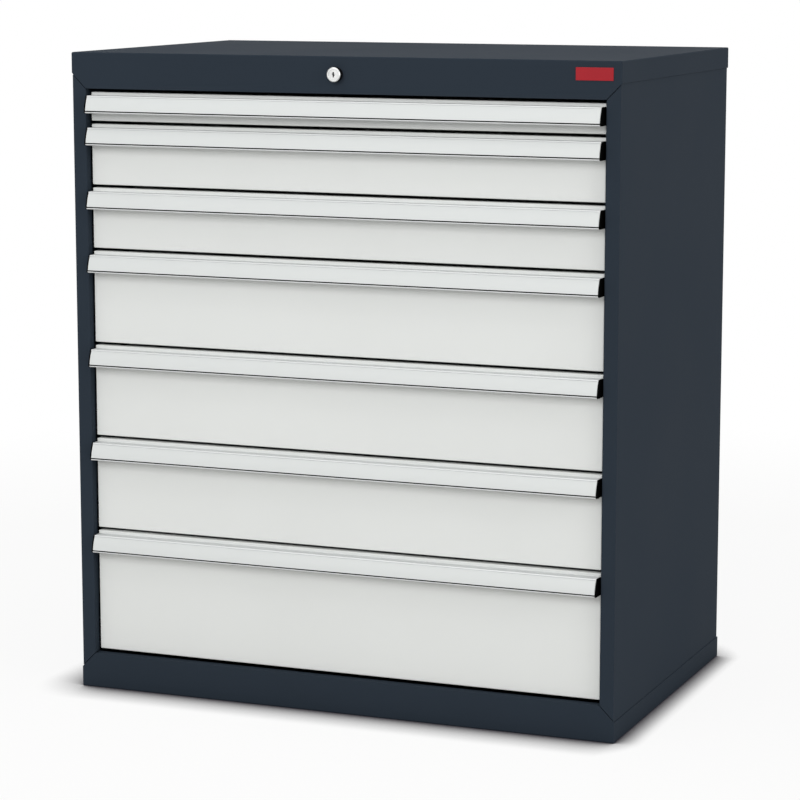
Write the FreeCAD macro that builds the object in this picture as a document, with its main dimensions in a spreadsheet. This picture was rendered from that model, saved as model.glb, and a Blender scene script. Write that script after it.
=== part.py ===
import FreeCAD, Part
import os
import Sketcher

# Steel cabinet with seven drawers on full-extension roller slides and one central lock.
# Millimetres. x runs to the right as seen from the front, y to the back and z up.
# The origin is the centre of the base's underside, and the drawers open towards -y.

DRAWERS = range(1, 8)

SIZES = {
    # Carcass: folded sheet, with a tray as the base, the same tray turned over as the top
    "width": 900,
    "depth": 572,
    "height": 1019,
    "sheet": 1.5,
    "band_height": 57,
    "skirt_height": 33,
    "stile_width": 24,
    "return_depth": 14,
    "rear_flange": 20,
    "edge_gap": 0.5,
    # Shares of the height between the bands, from the highest drawer to the lowest
    "pitch_1_shares": 1,
    "pitch_2_shares": 2,
    "pitch_3_shares": 2,
    "pitch_4_shares": 3,
    "pitch_5_shares": 3,
    "pitch_6_shares": 3,
    "pitch_7_shares": 4,
    "top_gap": 5,
    # Drawer front: a shallow folded pan that stands back from the carcass front
    "front_gap": 5,
    "side_gap": 3,
    "face_setback": 12,
    "front_depth": 14,
    "front_sheet": 1,
    "front_lip": 12,
    # Drawer box, with a hooked catch on its back for the lock bar
    "box_back_space": 31.5,
    "box_sheet": 1,
    "box_lift": 4,
    "box_drop": 8,
    "tab_drop": 3,
    "tab_width": 24,
    "catch_space": 8.5,
    "lip_height": 8,
    # Grip: an open aluminium section across the top of each front, and its plastic end caps
    "grip_set_down": 5,
    "grip_depth": 17.4,
    "grip_lean": 8.2,
    "grip_bulge": 1.5,
    "grip_front": 26,
    "grip_height": 27.6,
    "tip_back": 2,
    "tip_drop": 1.2,
    "grip_wall": 2.4,
    "grip_back_wall": 2,
    "cap_width": 2,
    # Label strip, held in a shallow groove along the grip's front
    "groove_start": 2,
    "groove_end": 24.2,
    "groove_depth": 0.8,
    "strip_thickness": 0.6,
    # Slides: a fixed rail, a carriage with rollers on both faces, and a runner on the box
    "slide_setback": 2,
    "travel_loss": 8,
    "channel_sheet": 1.5,
    "runner_depth": 18,
    "runner_lift": 2,
    "pass_gap": 1.5,
    "slide_gap": 1,
    "carriage_plate": 2.5,
    "roller_radius": 12,
    "roller_width": 10,
    "roller_gap": 0.3,
    "roller_margin": 2,
    "stud_radius": 4,
    "shoulder_radius": 6,
    "shoulder_length": 4.5,
    "head_length": 1,
    "bore_gap": 0.05,
    # Lock: a turning core in a fixed housing, and a shaft with a driving disc at the back
    "lock_drop": 27,
    "collar_radius": 11.1,
    "collar_length": 11.7,
    "collar_chamfer": 1.2,
    "housing_radius": 9.5,
    "housing_length": 28,
    "hole_gap": 0.1,
    "nut_radius": 14,
    "nut_length": 4,
    "core_radius": 7.5,
    "core_gap": 0.05,
    "core_recess": 0.4,
    "core_end_gap": 2,
    "tail_radius": 5,
    "tail_length": 8,
    "keyway_width": 2.2,
    "keyway_height": 8,
    "keyway_depth": 12,
    "ward_reach": 2.2,
    "ward_height": 1.5,
    "shaft_radius": 4,
    "disc_radius": 15,
    "disc_length": 3,
    "disc_gap": 1,
    "crank_offset": 7,
    "pin_radius": 3,
    "bearing_width": 30,
    "bearing_sheet": 3,
    "bearing_drop": 12,
    "bearing_setback": 9,
    # Lock bar: slides up behind the drawers, and its hooks hold their catches
    "bar_width": 40,
    "bar_sheet": 3,
    "bar_gap": 0.5,
    "bar_head": 5,
    "slot_gap": 0.5,
    "hook_width": 16,
    "hook_gap": 3,
    "hook_clear": 0.8,
    "finger_height": 8,
    "guide_height": 20,
    "guide_gap": 0.3,
    "guide_share": 0.75,
    # Blank plate at the right of the top band
    "plate_width": 57.6,
    "plate_height": 19,
    "plate_thickness": 1,
    "plate_inset": 13,
    "plate_drop": 9.8,
    # How far a cut runs past the face that it opens
    "overrun": 5,
}

# Drawers that have a guide for the lock bar behind them
GUIDED_DRAWERS = (2, 5, 7)

# Heights that the sheet works out: one share, each drawer's place and its front's top edge
ALL_SHARES = " + ".join(f"pitch_{number}_shares" for number in DRAWERS)
HEIGHTS = {"share_height": f"(height - 2 * band_height - top_gap) / ({ALL_SHARES})"}
for drawer in reversed(DRAWERS):
    below = f"top_{drawer + 1}" if drawer + 1 in DRAWERS else "band_height"
    HEIGHTS[f"pitch_{drawer}"] = f"pitch_{drawer}_shares * share_height"
    HEIGHTS[f"top_{drawer}"] = f"{below} + pitch_{drawer}"

# Planes of the carcass
HALF_WIDTH = "(sizes.width / 2)"
SKIRT_INSIDE = "(sizes.width / 2 - sizes.sheet)"
WALL_INSIDE = "(sizes.width / 2 - 2 * sizes.sheet)"
OPENING = "(sizes.width / 2 - sizes.stile_width)"
FRONT = "(-sizes.depth / 2)"
BACK = "(sizes.depth / 2)"
PANEL_BACK = f"({BACK} - 2 * sizes.sheet)"
PANEL_FRONT = f"({BACK} - 3 * sizes.sheet)"

# Planes of the drawers and the slides, from the front to the back
FACE = f"({FRONT} + sizes.face_setback)"
BOX_FRONT = f"({FACE} + sizes.front_depth)"
BOX_BACK = f"({PANEL_FRONT} - sizes.box_back_space)"
SLIDE_FRONT = f"({BOX_FRONT} + sizes.slide_setback)"
SLIDE_BACK = BOX_BACK
HALF_TRAVEL = f"(({SLIDE_BACK} - {SLIDE_FRONT} - sizes.travel_loss) / 2)"

# Planes of the drawers and the slides, from the opening's side inwards and outwards
FRONT_SIDE = f"({OPENING} - sizes.side_gap)"
GRIP_SIDE = f"({FRONT_SIDE} - sizes.cap_width)"
PLATE_OUTSIDE = f"({OPENING} - sizes.pass_gap)"
PLATE_INSIDE = f"({PLATE_OUTSIDE} - sizes.carriage_plate)"
RUNNER_TIP = f"({PLATE_INSIDE} - sizes.slide_gap)"
RAIL_TIP = f"({PLATE_OUTSIDE} + sizes.slide_gap)"
BOX_SIDE = f"({RUNNER_TIP} - sizes.runner_depth)"

# Half heights of a slide channel, inside and outside
CHANNEL_INSIDE = "(sizes.roller_radius + sizes.roller_gap)"
CHANNEL_OUTSIDE = f"({CHANNEL_INSIDE} + sizes.channel_sheet)"

# Planes of the lock, from the front to the back
LOCK_AXIS = "(sizes.height - sizes.lock_drop)"
COLLAR_FRONT = f"({FRONT} - sizes.collar_length)"
HOUSING_BACK = f"({FRONT} + sizes.housing_length)"
CORE_FRONT = f"({COLLAR_FRONT} + sizes.core_recess)"
CORE_BACK = f"({HOUSING_BACK} + sizes.core_end_gap)"
TAIL_BACK = f"({CORE_BACK} + sizes.tail_length)"
BAR_BACK = f"({PANEL_FRONT} - sizes.bar_gap)"
BAR_FRONT = f"({BAR_BACK} - sizes.bar_sheet)"
CATCH_BACK = f"({BAR_FRONT} - sizes.catch_space)"
DISC_BACK = f"({BAR_FRONT} - sizes.disc_gap)"
DISC_FRONT = f"({DISC_BACK} - sizes.disc_length)"
BEARING_BACK = f"({DISC_FRONT} - sizes.bearing_setback)"
LIFT = "(2 * sizes.crank_offset)"

doc = FreeCAD.newDocument("drawer_cabinet")
sheet = doc.addObject("Spreadsheet::Sheet", "sizes")
nodes = []


def fill_sheet():
    """Write each driving dimension and each height to the sheet with its name as alias."""
    rows = [(name, str(value)) for name, value in SIZES.items()]
    rows += [(name, f"={formula}") for name, formula in HEIGHTS.items()]
    for row, (name, content) in enumerate(rows, start=1):
        sheet.set(f"A{row}", name)
        sheet.set(f"B{row}", content)
        sheet.setAlias(f"B{row}", name)
    doc.recompute()


def value_of(expression):
    """Give the present value of an expression as a plain number."""
    return float(sheet.evalExpression(expression))


def bind(item, expressions):
    """Bind properties of an object to expressions on the sheet."""
    for name, expression in expressions.items():
        item.setExpression(name, expression)


def keep(item, label):
    """Name an object as one of the finished sub-parts."""
    item.Label = label
    nodes.append(item)
    return item


def block(name, across, along, up):
    """Make a box from three pairs of planes, each pair low then high."""
    box = doc.addObject("Part::Box", name)
    bind(box, {
        "Length": f"({across[1]}) - ({across[0]})",
        "Width": f"({along[1]}) - ({along[0]})",
        "Height": f"({up[1]}) - ({up[0]})",
        "Placement.Base.x": across[0],
        "Placement.Base.y": along[0],
        "Placement.Base.z": up[0],
    })
    return box


def centred(half):
    """Give the pair of planes at minus and plus one half size."""
    return f"-({half})", half


def cylinder_x(name, radius, ends, along, up):
    """Make a cylinder whose axis lies along x."""
    rod = doc.addObject("Part::Cylinder", name)
    rod.Placement = FreeCAD.Placement(FreeCAD.Vector(), FreeCAD.Rotation(FreeCAD.Vector(0, 1, 0), 90))
    bind(rod, {
        "Radius": radius,
        "Height": f"({ends[1]}) - ({ends[0]})",
        "Placement.Base.x": ends[0],
        "Placement.Base.y": along,
        "Placement.Base.z": up,
    })
    return rod


def cylinder_y(name, radius, ends, across, up):
    """Make a cylinder whose axis lies along y."""
    rod = doc.addObject("Part::Cylinder", name)
    rod.Placement = FreeCAD.Placement(FreeCAD.Vector(), FreeCAD.Rotation(FreeCAD.Vector(1, 0, 0), -90))
    bind(rod, {
        "Radius": radius,
        "Height": f"({ends[1]}) - ({ends[0]})",
        "Placement.Base.x": across,
        "Placement.Base.y": ends[0],
        "Placement.Base.z": up,
    })
    return rod


def fuse(name, items):
    """Join pieces that are welded or folded into one."""
    joined = doc.addObject("Part::MultiFuse", name)
    joined.Shapes = items
    return joined


def cut(name, base, tool):
    """Take one solid out of another."""
    result = doc.addObject("Part::Cut", name)
    result.Base = base
    result.Tool = tool
    return result


def group(name, items):
    """Hold separate solids together as one object."""
    compound = doc.addObject("Part::Compound", name)
    compound.Links = items
    return compound


def other_side(name, source):
    """Mirror an object from the right side to the left."""
    mirrored = doc.addObject("Part::Mirroring", name)
    mirrored.Source = source
    mirrored.Normal = FreeCAD.Vector(1, 0, 0)
    return mirrored


def fix_point(sketch, item, end, pair, place):
    """Hold one point of a sketch at a pair of expressions."""
    for kind, expression, value in zip(("DistanceX", "DistanceY"), pair, place):
        dimension = sketch.addConstraint(Sketcher.Constraint(kind, -1, 1, item, end, value))
        sketch.setExpression(f"Constraints[{dimension}]", expression)


def outline(body, name, plane, corners, shift):
    """Draw a closed outline on one of the body's own origin planes.

    A corner is a pair of expressions. Where the edge that leaves it is an arc, it has four:
    the corner's own pair, and a pair for a point on the arc.
    """
    planes = {feature.Role: feature for feature in body.Origin.OriginFeatures}
    sketch = body.newObject("Sketcher::SketchObject", name)
    sketch.AttachmentSupport = (planes[plane], [""])
    sketch.MapMode = "FlatFace"
    sketch.setExpression("AttachmentOffset.Base.z", shift)
    places = [[value_of(part) for part in corner] for corner in corners]
    count = len(corners)
    ends = []
    for index, (across, up, *through) in enumerate(places):
        start = FreeCAD.Vector(across, up, 0)
        end = FreeCAD.Vector(*places[(index + 1) % count][:2], 0)
        if through:
            sketch.addGeometry(Part.Arc(start, FreeCAD.Vector(*through, 0), end), False)
        else:
            sketch.addGeometry(Part.LineSegment(start, end), False)
        starts_here = sketch.getPoint(index, 1).distanceToPoint(start)
        ends_here = sketch.getPoint(index, 2).distanceToPoint(start)
        ends.append((1, 2) if starts_here < ends_here else (2, 1))
    for index in range(count):
        after = (index + 1) % count
        sketch.addConstraint(Sketcher.Constraint("Coincident", index, ends[index][1], after, ends[after][0]))
    for index, (corner, (across, up, *through)) in enumerate(zip(corners, places)):
        fix_point(sketch, index, ends[index][0], corner[:2], (across, up))
        if through:
            point = sketch.addGeometry(Part.Point(FreeCAD.Vector(*through, 0)), True)
            sketch.addConstraint(Sketcher.Constraint("PointOnObject", point, 1, index))
            fix_point(sketch, point, 1, corner[2:], through)
    return sketch


def prism(name, plane, corners, ends):
    """Pad an outline between two planes, low then high, square to the outline's own plane."""
    body = doc.addObject("PartDesign::Body", name)
    shift = f"-({ends[1]})" if plane == "XZ_Plane" else ends[0]
    sketch = outline(body, f"{name}_outline", plane, corners, shift)
    pad = body.newObject("PartDesign::Pad", f"{name}_pad")
    pad.Profile = (sketch, [""])
    pad.setExpression("Length", f"({ends[1]}) - ({ends[0]})")
    return body


def turned(name, corners):
    """Turn an outline of places along y and radii about the y axis."""
    body = doc.addObject("PartDesign::Body", name)
    sketch = outline(body, f"{name}_outline", "YZ_Plane", corners, "0")
    revolution = body.newObject("PartDesign::Revolution", f"{name}_turn")
    revolution.Profile = (sketch, [""])
    revolution.ReferenceAxis = (sketch, ["H_Axis"])
    return body


def slide_axis(number):
    """Height of the middle of a drawer's slides, which sit near the floor of its box."""
    floor = f"sizes.top_{number} - sizes.pitch_{number} + sizes.front_gap + sizes.box_lift"
    return f"({floor} + sizes.runner_lift + {CHANNEL_OUTSIDE})"


def catch_height(number):
    """Height of the underside of a drawer's catch."""
    return f"(sizes.top_{number} - sizes.box_drop - sizes.tab_drop)"


# Carcass

def make_tray(name):
    """Fold a tray: a plate with three low skirts, and a high front band with mitred ends."""
    outer = block(f"{name}_outer", centred(HALF_WIDTH), (FRONT, BACK), ("0", "sizes.skirt_height"))
    hollow = block(
        f"{name}_hollow",
        centred(SKIRT_INSIDE),
        (f"{FRONT} + sizes.sheet", f"{BACK} - sizes.sheet"),
        ("sizes.sheet", "sizes.skirt_height + sizes.overrun"),
    )
    pan = cut(f"{name}_pan", outer, hollow)
    band = prism(
        f"{name}_band",
        "XZ_Plane",
        [
            (f"-{HALF_WIDTH}", "0"),
            (HALF_WIDTH, "0"),
            (HALF_WIDTH, "sizes.band_height - sizes.stile_width"),
            (OPENING, "sizes.band_height"),
            (f"-{OPENING}", "sizes.band_height"),
            (f"-{HALF_WIDTH}", "sizes.band_height - sizes.stile_width"),
        ],
        (FRONT, f"{FRONT} + sizes.sheet"),
    )
    ledge = block(
        f"{name}_ledge",
        centred(OPENING),
        (FRONT, f"{FRONT} + sizes.return_depth"),
        ("sizes.band_height - sizes.sheet", "sizes.band_height"),
    )
    return fuse(name, [pan, band, ledge])


def make_top_cover():
    """Turn a tray over for the top, with the lock's hole and the shaft's rear bearing."""
    upright = make_tray("cover_tray")
    turned_over = doc.addObject("Part::Mirroring", "turned_tray")
    turned_over.Source = upright
    turned_over.Normal = FreeCAD.Vector(0, 0, 1)
    turned_over.setExpression("Base.z", "sizes.height / 2")
    bearing = block(
        "bearing_plate",
        centred("sizes.bearing_width / 2"),
        (f"{BEARING_BACK} - sizes.bearing_sheet", BEARING_BACK),
        (f"{LOCK_AXIS} - sizes.bearing_drop", "sizes.height - sizes.sheet"),
    )
    bearing_hole = cylinder_y(
        "bearing_hole",
        "sizes.shaft_radius + sizes.hole_gap",
        (f"{BEARING_BACK} - sizes.bearing_sheet - sizes.overrun", f"{BEARING_BACK} + sizes.overrun"),
        "0",
        LOCK_AXIS,
    )
    lock_hole = cylinder_y(
        "lock_hole",
        "sizes.housing_radius + sizes.hole_gap",
        (f"{FRONT} - sizes.overrun", f"{FRONT} + sizes.sheet + sizes.overrun"),
        "0",
        LOCK_AXIS,
    )
    joined = fuse("cover_with_bearing", [turned_over, bearing])
    holes = fuse("cover_holes", [bearing_hole, lock_hole])
    return cut("cover_with_holes", joined, holes)


def mitred_ends(name, outer, back):
    """Wedges that cut 45 degree ends, where the right stile meets the bands of the base and the top."""
    inner = f"{OPENING} - sizes.overrun"
    slope = f"sizes.band_height + {OPENING} - ({outer})"
    depth = (f"{FRONT} - sizes.overrun", back)
    low_end = prism(
        f"{name}_low_end",
        "XZ_Plane",
        [
            (inner, "-sizes.overrun"),
            (outer, "-sizes.overrun"),
            (outer, slope),
            (inner, "sizes.band_height + sizes.overrun"),
        ],
        depth,
    )
    high_end = prism(
        f"{name}_high_end",
        "XZ_Plane",
        [
            (inner, "sizes.height + sizes.overrun"),
            (outer, "sizes.height + sizes.overrun"),
            (outer, f"sizes.height - ({slope})"),
            (inner, "sizes.height - sizes.band_height - sizes.overrun"),
        ],
        depth,
    )
    return fuse(f"{name}_ends", [low_end, high_end])


def make_side_panel():
    """Fold the right side: a wall with a front stile, its inner return and a rear flange."""
    wall = prism(
        "side_wall",
        "XY_Plane",
        [
            (SKIRT_INSIDE, FRONT),
            (SKIRT_INSIDE, f"{BACK} - sizes.sheet"),
            (f"{SKIRT_INSIDE} - sizes.rear_flange", f"{BACK} - sizes.sheet"),
            (f"{SKIRT_INSIDE} - sizes.rear_flange", PANEL_BACK),
            (WALL_INSIDE, PANEL_BACK),
            (WALL_INSIDE, f"{FRONT} + sizes.sheet"),
            (f"{OPENING} + sizes.sheet", f"{FRONT} + sizes.sheet"),
            (f"{OPENING} + sizes.sheet", f"{FRONT} + sizes.return_depth"),
            (OPENING, f"{FRONT} + sizes.return_depth"),
            (OPENING, FRONT),
        ],
        ("sizes.sheet", "sizes.height - sizes.sheet"),
    )
    # Behind the stile only its inner return is cut, and the wall stays whole inside the skirts
    stile_ends = mitred_ends("stile", f"{HALF_WIDTH} + sizes.overrun", f"{FRONT} + sizes.sheet")
    return_ends = mitred_ends(
        "return",
        f"{OPENING} + sizes.sheet + sizes.edge_gap",
        f"{FRONT} + sizes.return_depth + sizes.edge_gap",
    )
    return cut("side_panel", wall, fuse("panel_ends", [stile_ends, return_ends]))


def make_guide(number):
    """Strap over the lock bar, part of the way down behind one drawer."""
    middle = f"sizes.top_{number} - sizes.guide_share * sizes.pitch_{number}"
    low = f"{middle} - sizes.guide_height / 2"
    high = f"{middle} + sizes.guide_height / 2"
    inside = "sizes.bar_width / 2 + sizes.guide_gap"
    front = f"{BAR_FRONT} - sizes.guide_gap"
    strap = block(
        f"guide_{number}_strap",
        centred(f"{inside} + sizes.sheet"),
        (f"{front} - sizes.sheet", PANEL_FRONT),
        (low, high),
    )
    channel = block(
        f"guide_{number}_channel",
        centred(inside),
        (front, f"{PANEL_FRONT} + sizes.overrun"),
        (f"{low} - sizes.overrun", f"{high} + sizes.overrun"),
    )
    return cut(f"guide_{number}", strap, channel)


def make_back_panel():
    """Flat back in front of the side panels' rear flanges, with the lock bar's guides."""
    flat = block(
        "back_flat",
        centred(f"{WALL_INSIDE} - sizes.edge_gap"),
        (PANEL_FRONT, PANEL_BACK),
        ("sizes.sheet", "sizes.height - sizes.sheet"),
    )
    return fuse("back", [flat] + [make_guide(number) for number in GUIDED_DRAWERS])


def make_carcass():
    """Build the fixed panels and the blank plate."""
    keep(make_tray("base_tray"), "base_tray")
    keep(make_top_cover(), "top_cover")
    right = keep(make_side_panel(), "side_panel_right")
    keep(other_side("side_panel_mirror", right), "side_panel_left")
    keep(make_back_panel(), "back_panel")
    plate_side = f"({HALF_WIDTH} - sizes.plate_inset)"
    plate_top = "(sizes.height - sizes.plate_drop)"
    plate = block(
        "plate",
        (f"{plate_side} - sizes.plate_width", plate_side),
        (f"{FRONT} - sizes.plate_thickness", FRONT),
        (f"{plate_top} - sizes.plate_height", plate_top),
    )
    keep(plate, "name_plate")


# Slides

def channel_section(web, web_face, tip):
    """Corners of a channel on its side: the outside and inside of its web, and its tips."""
    return [
        (web, f"-{CHANNEL_OUTSIDE}"),
        (tip, f"-{CHANNEL_OUTSIDE}"),
        (tip, f"-{CHANNEL_INSIDE}"),
        (web_face, f"-{CHANNEL_INSIDE}"),
        (web_face, CHANNEL_INSIDE),
        (tip, CHANNEL_INSIDE),
        (tip, CHANNEL_OUTSIDE),
        (web, CHANNEL_OUTSIDE),
    ]


def both_sides(name, right):
    """Group a right-hand piece with its mirror image."""
    return group(f"{name}_pair", [right, other_side(f"{name}_mirror", right)])


def roller_places():
    """Places along y of the outer rollers, in the rail, and the inner ones, in the runner."""
    end = "(sizes.roller_radius + sizes.roller_margin)"
    outer = (f"{SLIDE_FRONT} + {HALF_TRAVEL} + {end}", f"{SLIDE_BACK} - {end}")
    inner = (f"{SLIDE_FRONT} + {end}", f"{SLIDE_BACK} - {HALF_TRAVEL} - {end}")
    return [
        [first, f"(({first}) + ({last})) / 2", last]
        for first, last in (outer, inner)
    ]


def make_roller(name, along, stud_ends, roller_ends):
    """Stud of three steps for a carriage, and the roller that turns on it."""
    stud = [
        cylinder_x(f"{name}_shoulder", "sizes.shoulder_radius", stud_ends[0], along, "0"),
        cylinder_x(f"{name}_journal", "sizes.stud_radius", stud_ends[1], along, "0"),
        cylinder_x(f"{name}_head", "sizes.shoulder_radius", stud_ends[2], along, "0"),
    ]
    tyre = cylinder_x(f"{name}_tyre", "sizes.roller_radius", roller_ends, along, "0")
    bore_ends = (f"{roller_ends[0]} - sizes.overrun", f"{roller_ends[1]} + sizes.overrun")
    bore = cylinder_x(f"{name}_bore", "sizes.stud_radius + sizes.bore_gap", bore_ends, along, "0")
    return stud, cut(f"{name}_roller", tyre, bore)


def make_carriage():
    """Middle member of a slide: a plate with three rollers on each of its faces."""
    studs = []
    rollers = []
    outer_places, inner_places = roller_places()
    for index, along in enumerate(outer_places, start=1):
        start = f"({PLATE_OUTSIDE} + sizes.shoulder_length)"
        end = f"({start} + sizes.roller_width)"
        steps = [(PLATE_OUTSIDE, start), (start, end), (end, f"{end} + sizes.head_length")]
        stud, roller = make_roller(f"outer_{index}", along, steps, (start, end))
        studs += stud
        rollers.append(roller)
    for index, along in enumerate(inner_places, start=1):
        start = f"({PLATE_INSIDE} - sizes.shoulder_length)"
        end = f"({start} - sizes.roller_width)"
        steps = [(start, PLATE_INSIDE), (end, start), (f"{end} - sizes.head_length", end)]
        stud, roller = make_roller(f"inner_{index}", along, steps, (end, start))
        studs += stud
        rollers.append(roller)
    plate = block(
        "carriage_flat",
        (PLATE_INSIDE, PLATE_OUTSIDE),
        (SLIDE_FRONT, SLIDE_BACK),
        centred(CHANNEL_OUTSIDE),
    )
    return group("carriage", [fuse("carriage_frame", [plate] + studs)] + rollers)


def at_height(name, source, height):
    """Place a shared form at one height."""
    placed = group(name, [source])
    placed.setExpression("Placement.Base.z", height)
    return placed


def make_slides():
    """Build rails, carriages and runners for every drawer from one form of each."""
    ends = (SLIDE_FRONT, SLIDE_BACK)
    rail_section = channel_section(WALL_INSIDE, f"{WALL_INSIDE} - sizes.channel_sheet", RAIL_TIP)
    runner_section = channel_section(BOX_SIDE, f"{BOX_SIDE} + sizes.channel_sheet", RUNNER_TIP)
    rail = both_sides("rail", prism("rail", "XZ_Plane", rail_section, ends))
    runner = both_sides("runner", prism("runner", "XZ_Plane", runner_section, ends))
    carriage = both_sides("carriage", make_carriage())
    rails = [at_height(f"rails_{number}", rail, slide_axis(number)) for number in DRAWERS]
    keep(group("rails", rails), "cabinet_rails")
    for number in DRAWERS:
        height = slide_axis(number)
        keep(at_height(f"runners_{number}", runner, height), f"drawer_{number}_runners")
        keep(at_height(f"carriage_{number}", carriage, height), f"slide_{number}_carriage")


# Drawers, each modelled downwards from its top edge and then placed at its height

def make_front(number):
    """Fold a front: a pan with four sides and a lip all round its back."""
    bottom = f"-(sizes.pitch_{number} - sizes.front_gap)"
    outer = block(f"front_{number}_outer", centred(FRONT_SIDE), (FACE, BOX_FRONT), (bottom, "0"))
    hollow = block(
        f"front_{number}_hollow",
        centred(f"{FRONT_SIDE} - sizes.front_sheet"),
        (f"{FACE} + sizes.front_sheet", f"{BOX_FRONT} - sizes.front_sheet"),
        (f"{bottom} + sizes.front_sheet", "-sizes.front_sheet"),
    )
    window = block(
        f"front_{number}_window",
        centred(f"{FRONT_SIDE} - sizes.front_sheet - sizes.front_lip"),
        (f"{BOX_FRONT} - 2 * sizes.front_sheet", f"{BOX_FRONT} + sizes.overrun"),
        (f"{bottom} + sizes.front_sheet + sizes.front_lip", "-sizes.front_sheet - sizes.front_lip"),
    )
    return cut(f"front_{number}", outer, fuse(f"front_{number}_inside", [hollow, window]))


def make_box(number):
    """Fold a box with four walls, and weld the catch for the lock bar to its back."""
    floor = f"-(sizes.pitch_{number} - sizes.front_gap - sizes.box_lift)"
    rim = "-sizes.box_drop"
    outer = block(f"box_{number}_outer", centred(BOX_SIDE), (BOX_FRONT, BOX_BACK), (floor, rim))
    inside = block(
        f"box_{number}_inside",
        centred(f"{BOX_SIDE} - sizes.box_sheet"),
        (f"{BOX_FRONT} + sizes.box_sheet", f"{BOX_BACK} - sizes.box_sheet"),
        (f"{floor} + sizes.box_sheet", f"{rim} + sizes.overrun"),
    )
    shell = cut(f"box_{number}_shell", outer, inside)
    across = centred("sizes.tab_width / 2")
    under = f"({rim} - sizes.tab_drop)"
    tab = block(f"box_{number}_tab", across, (BOX_BACK, CATCH_BACK), (under, f"{under} + sizes.box_sheet"))
    lip = block(
        f"box_{number}_lip",
        across,
        (f"{CATCH_BACK} - sizes.box_sheet", CATCH_BACK),
        (f"{under} - sizes.lip_height", under),
    )
    return fuse(f"box_{number}", [shell, tab, lip])


def grip_face(drop, inset="0"):
    """Place along y of the grip's bulging, leaning front at a depth below its top, less an inset."""
    share = f"({drop}) / sizes.grip_front"
    lean = f"sizes.grip_lean * {share} + 4 * sizes.grip_bulge * {share} * (1 - {share})"
    return f"({FACE} - sizes.grip_depth - ({lean}) + {inset})"


def grip_point(drop, inset="0"):
    """Pair of expressions for a point on the grip's front, or inset from it."""
    return grip_face(drop, inset), f"-sizes.grip_set_down - ({drop})"


def grip_arc(start, end, inset="0"):
    """Start of an arc that follows the grip's front from one depth to another."""
    return grip_point(start, inset) + grip_point(f"({start} + {end}) / 2", inset)


def grip_tip():
    """Lowest point of the grip's front wall."""
    return (
        f"{grip_face('sizes.grip_front')} + sizes.tip_back",
        "-sizes.grip_set_down - sizes.grip_front - sizes.tip_drop",
    )


def make_grip():
    """Section with a flat top, a leaning front with a label groove, and a back wall."""
    top = "-sizes.grip_set_down"
    wall = "sizes.grip_wall"
    inner_middle = grip_point(f"({wall} + sizes.grip_front) / 2", wall)
    back_wall = f"{FACE} - sizes.grip_back_wall"
    return prism(
        "grip",
        "YZ_Plane",
        [
            (FACE, top),
            grip_point("0"),
            grip_point("sizes.groove_start"),
            grip_arc("sizes.groove_start", "sizes.groove_end", "sizes.groove_depth"),
            grip_point("sizes.groove_end", "sizes.groove_depth"),
            grip_point("sizes.groove_end"),
            grip_point("sizes.grip_front"),
            grip_tip() + inner_middle,
            grip_point(wall, wall),
            (back_wall, f"{top} - {wall}"),
            (back_wall, f"{top} - sizes.grip_height"),
            (FACE, f"{top} - sizes.grip_height"),
        ],
        centred(GRIP_SIDE),
    )


def make_cap():
    """Plastic cap that closes the right end of the grip."""
    top = "-sizes.grip_set_down"
    return prism(
        "cap",
        "YZ_Plane",
        [
            (FACE, top),
            grip_arc("0", "sizes.grip_front"),
            grip_point("sizes.grip_front"),
            grip_tip(),
            (FACE, f"{top} - sizes.grip_height"),
        ],
        (GRIP_SIDE, FRONT_SIDE),
    )


def make_strip():
    """Label strip that lies in the grip's groove, a little below its edges."""
    outside = "(sizes.groove_depth - sizes.strip_thickness)"
    return prism(
        "strip",
        "YZ_Plane",
        [
            grip_arc("sizes.groove_start", "sizes.groove_end", outside),
            grip_point("sizes.groove_end", outside),
            grip_arc("sizes.groove_end", "sizes.groove_start", "sizes.groove_depth"),
            grip_point("sizes.groove_start", "sizes.groove_depth"),
        ],
        centred(GRIP_SIDE),
    )


def make_drawers():
    """Build each drawer's front, box, grip, caps and label strip at its own height."""
    grip = make_grip()
    caps = both_sides("cap", make_cap())
    strip = make_strip()
    for number in DRAWERS:
        top = f"sizes.top_{number}"
        for piece, label in ((make_front(number), "front"), (make_box(number), "box")):
            piece.setExpression("Placement.Base.z", top)
            keep(piece, f"drawer_{number}_{label}")
        for source, label in ((grip, "grip"), (caps, "end_caps"), (strip, "label_strip")):
            keep(at_height(f"{label}_{number}", source, top), f"drawer_{number}_{label}")


# Lock

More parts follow.
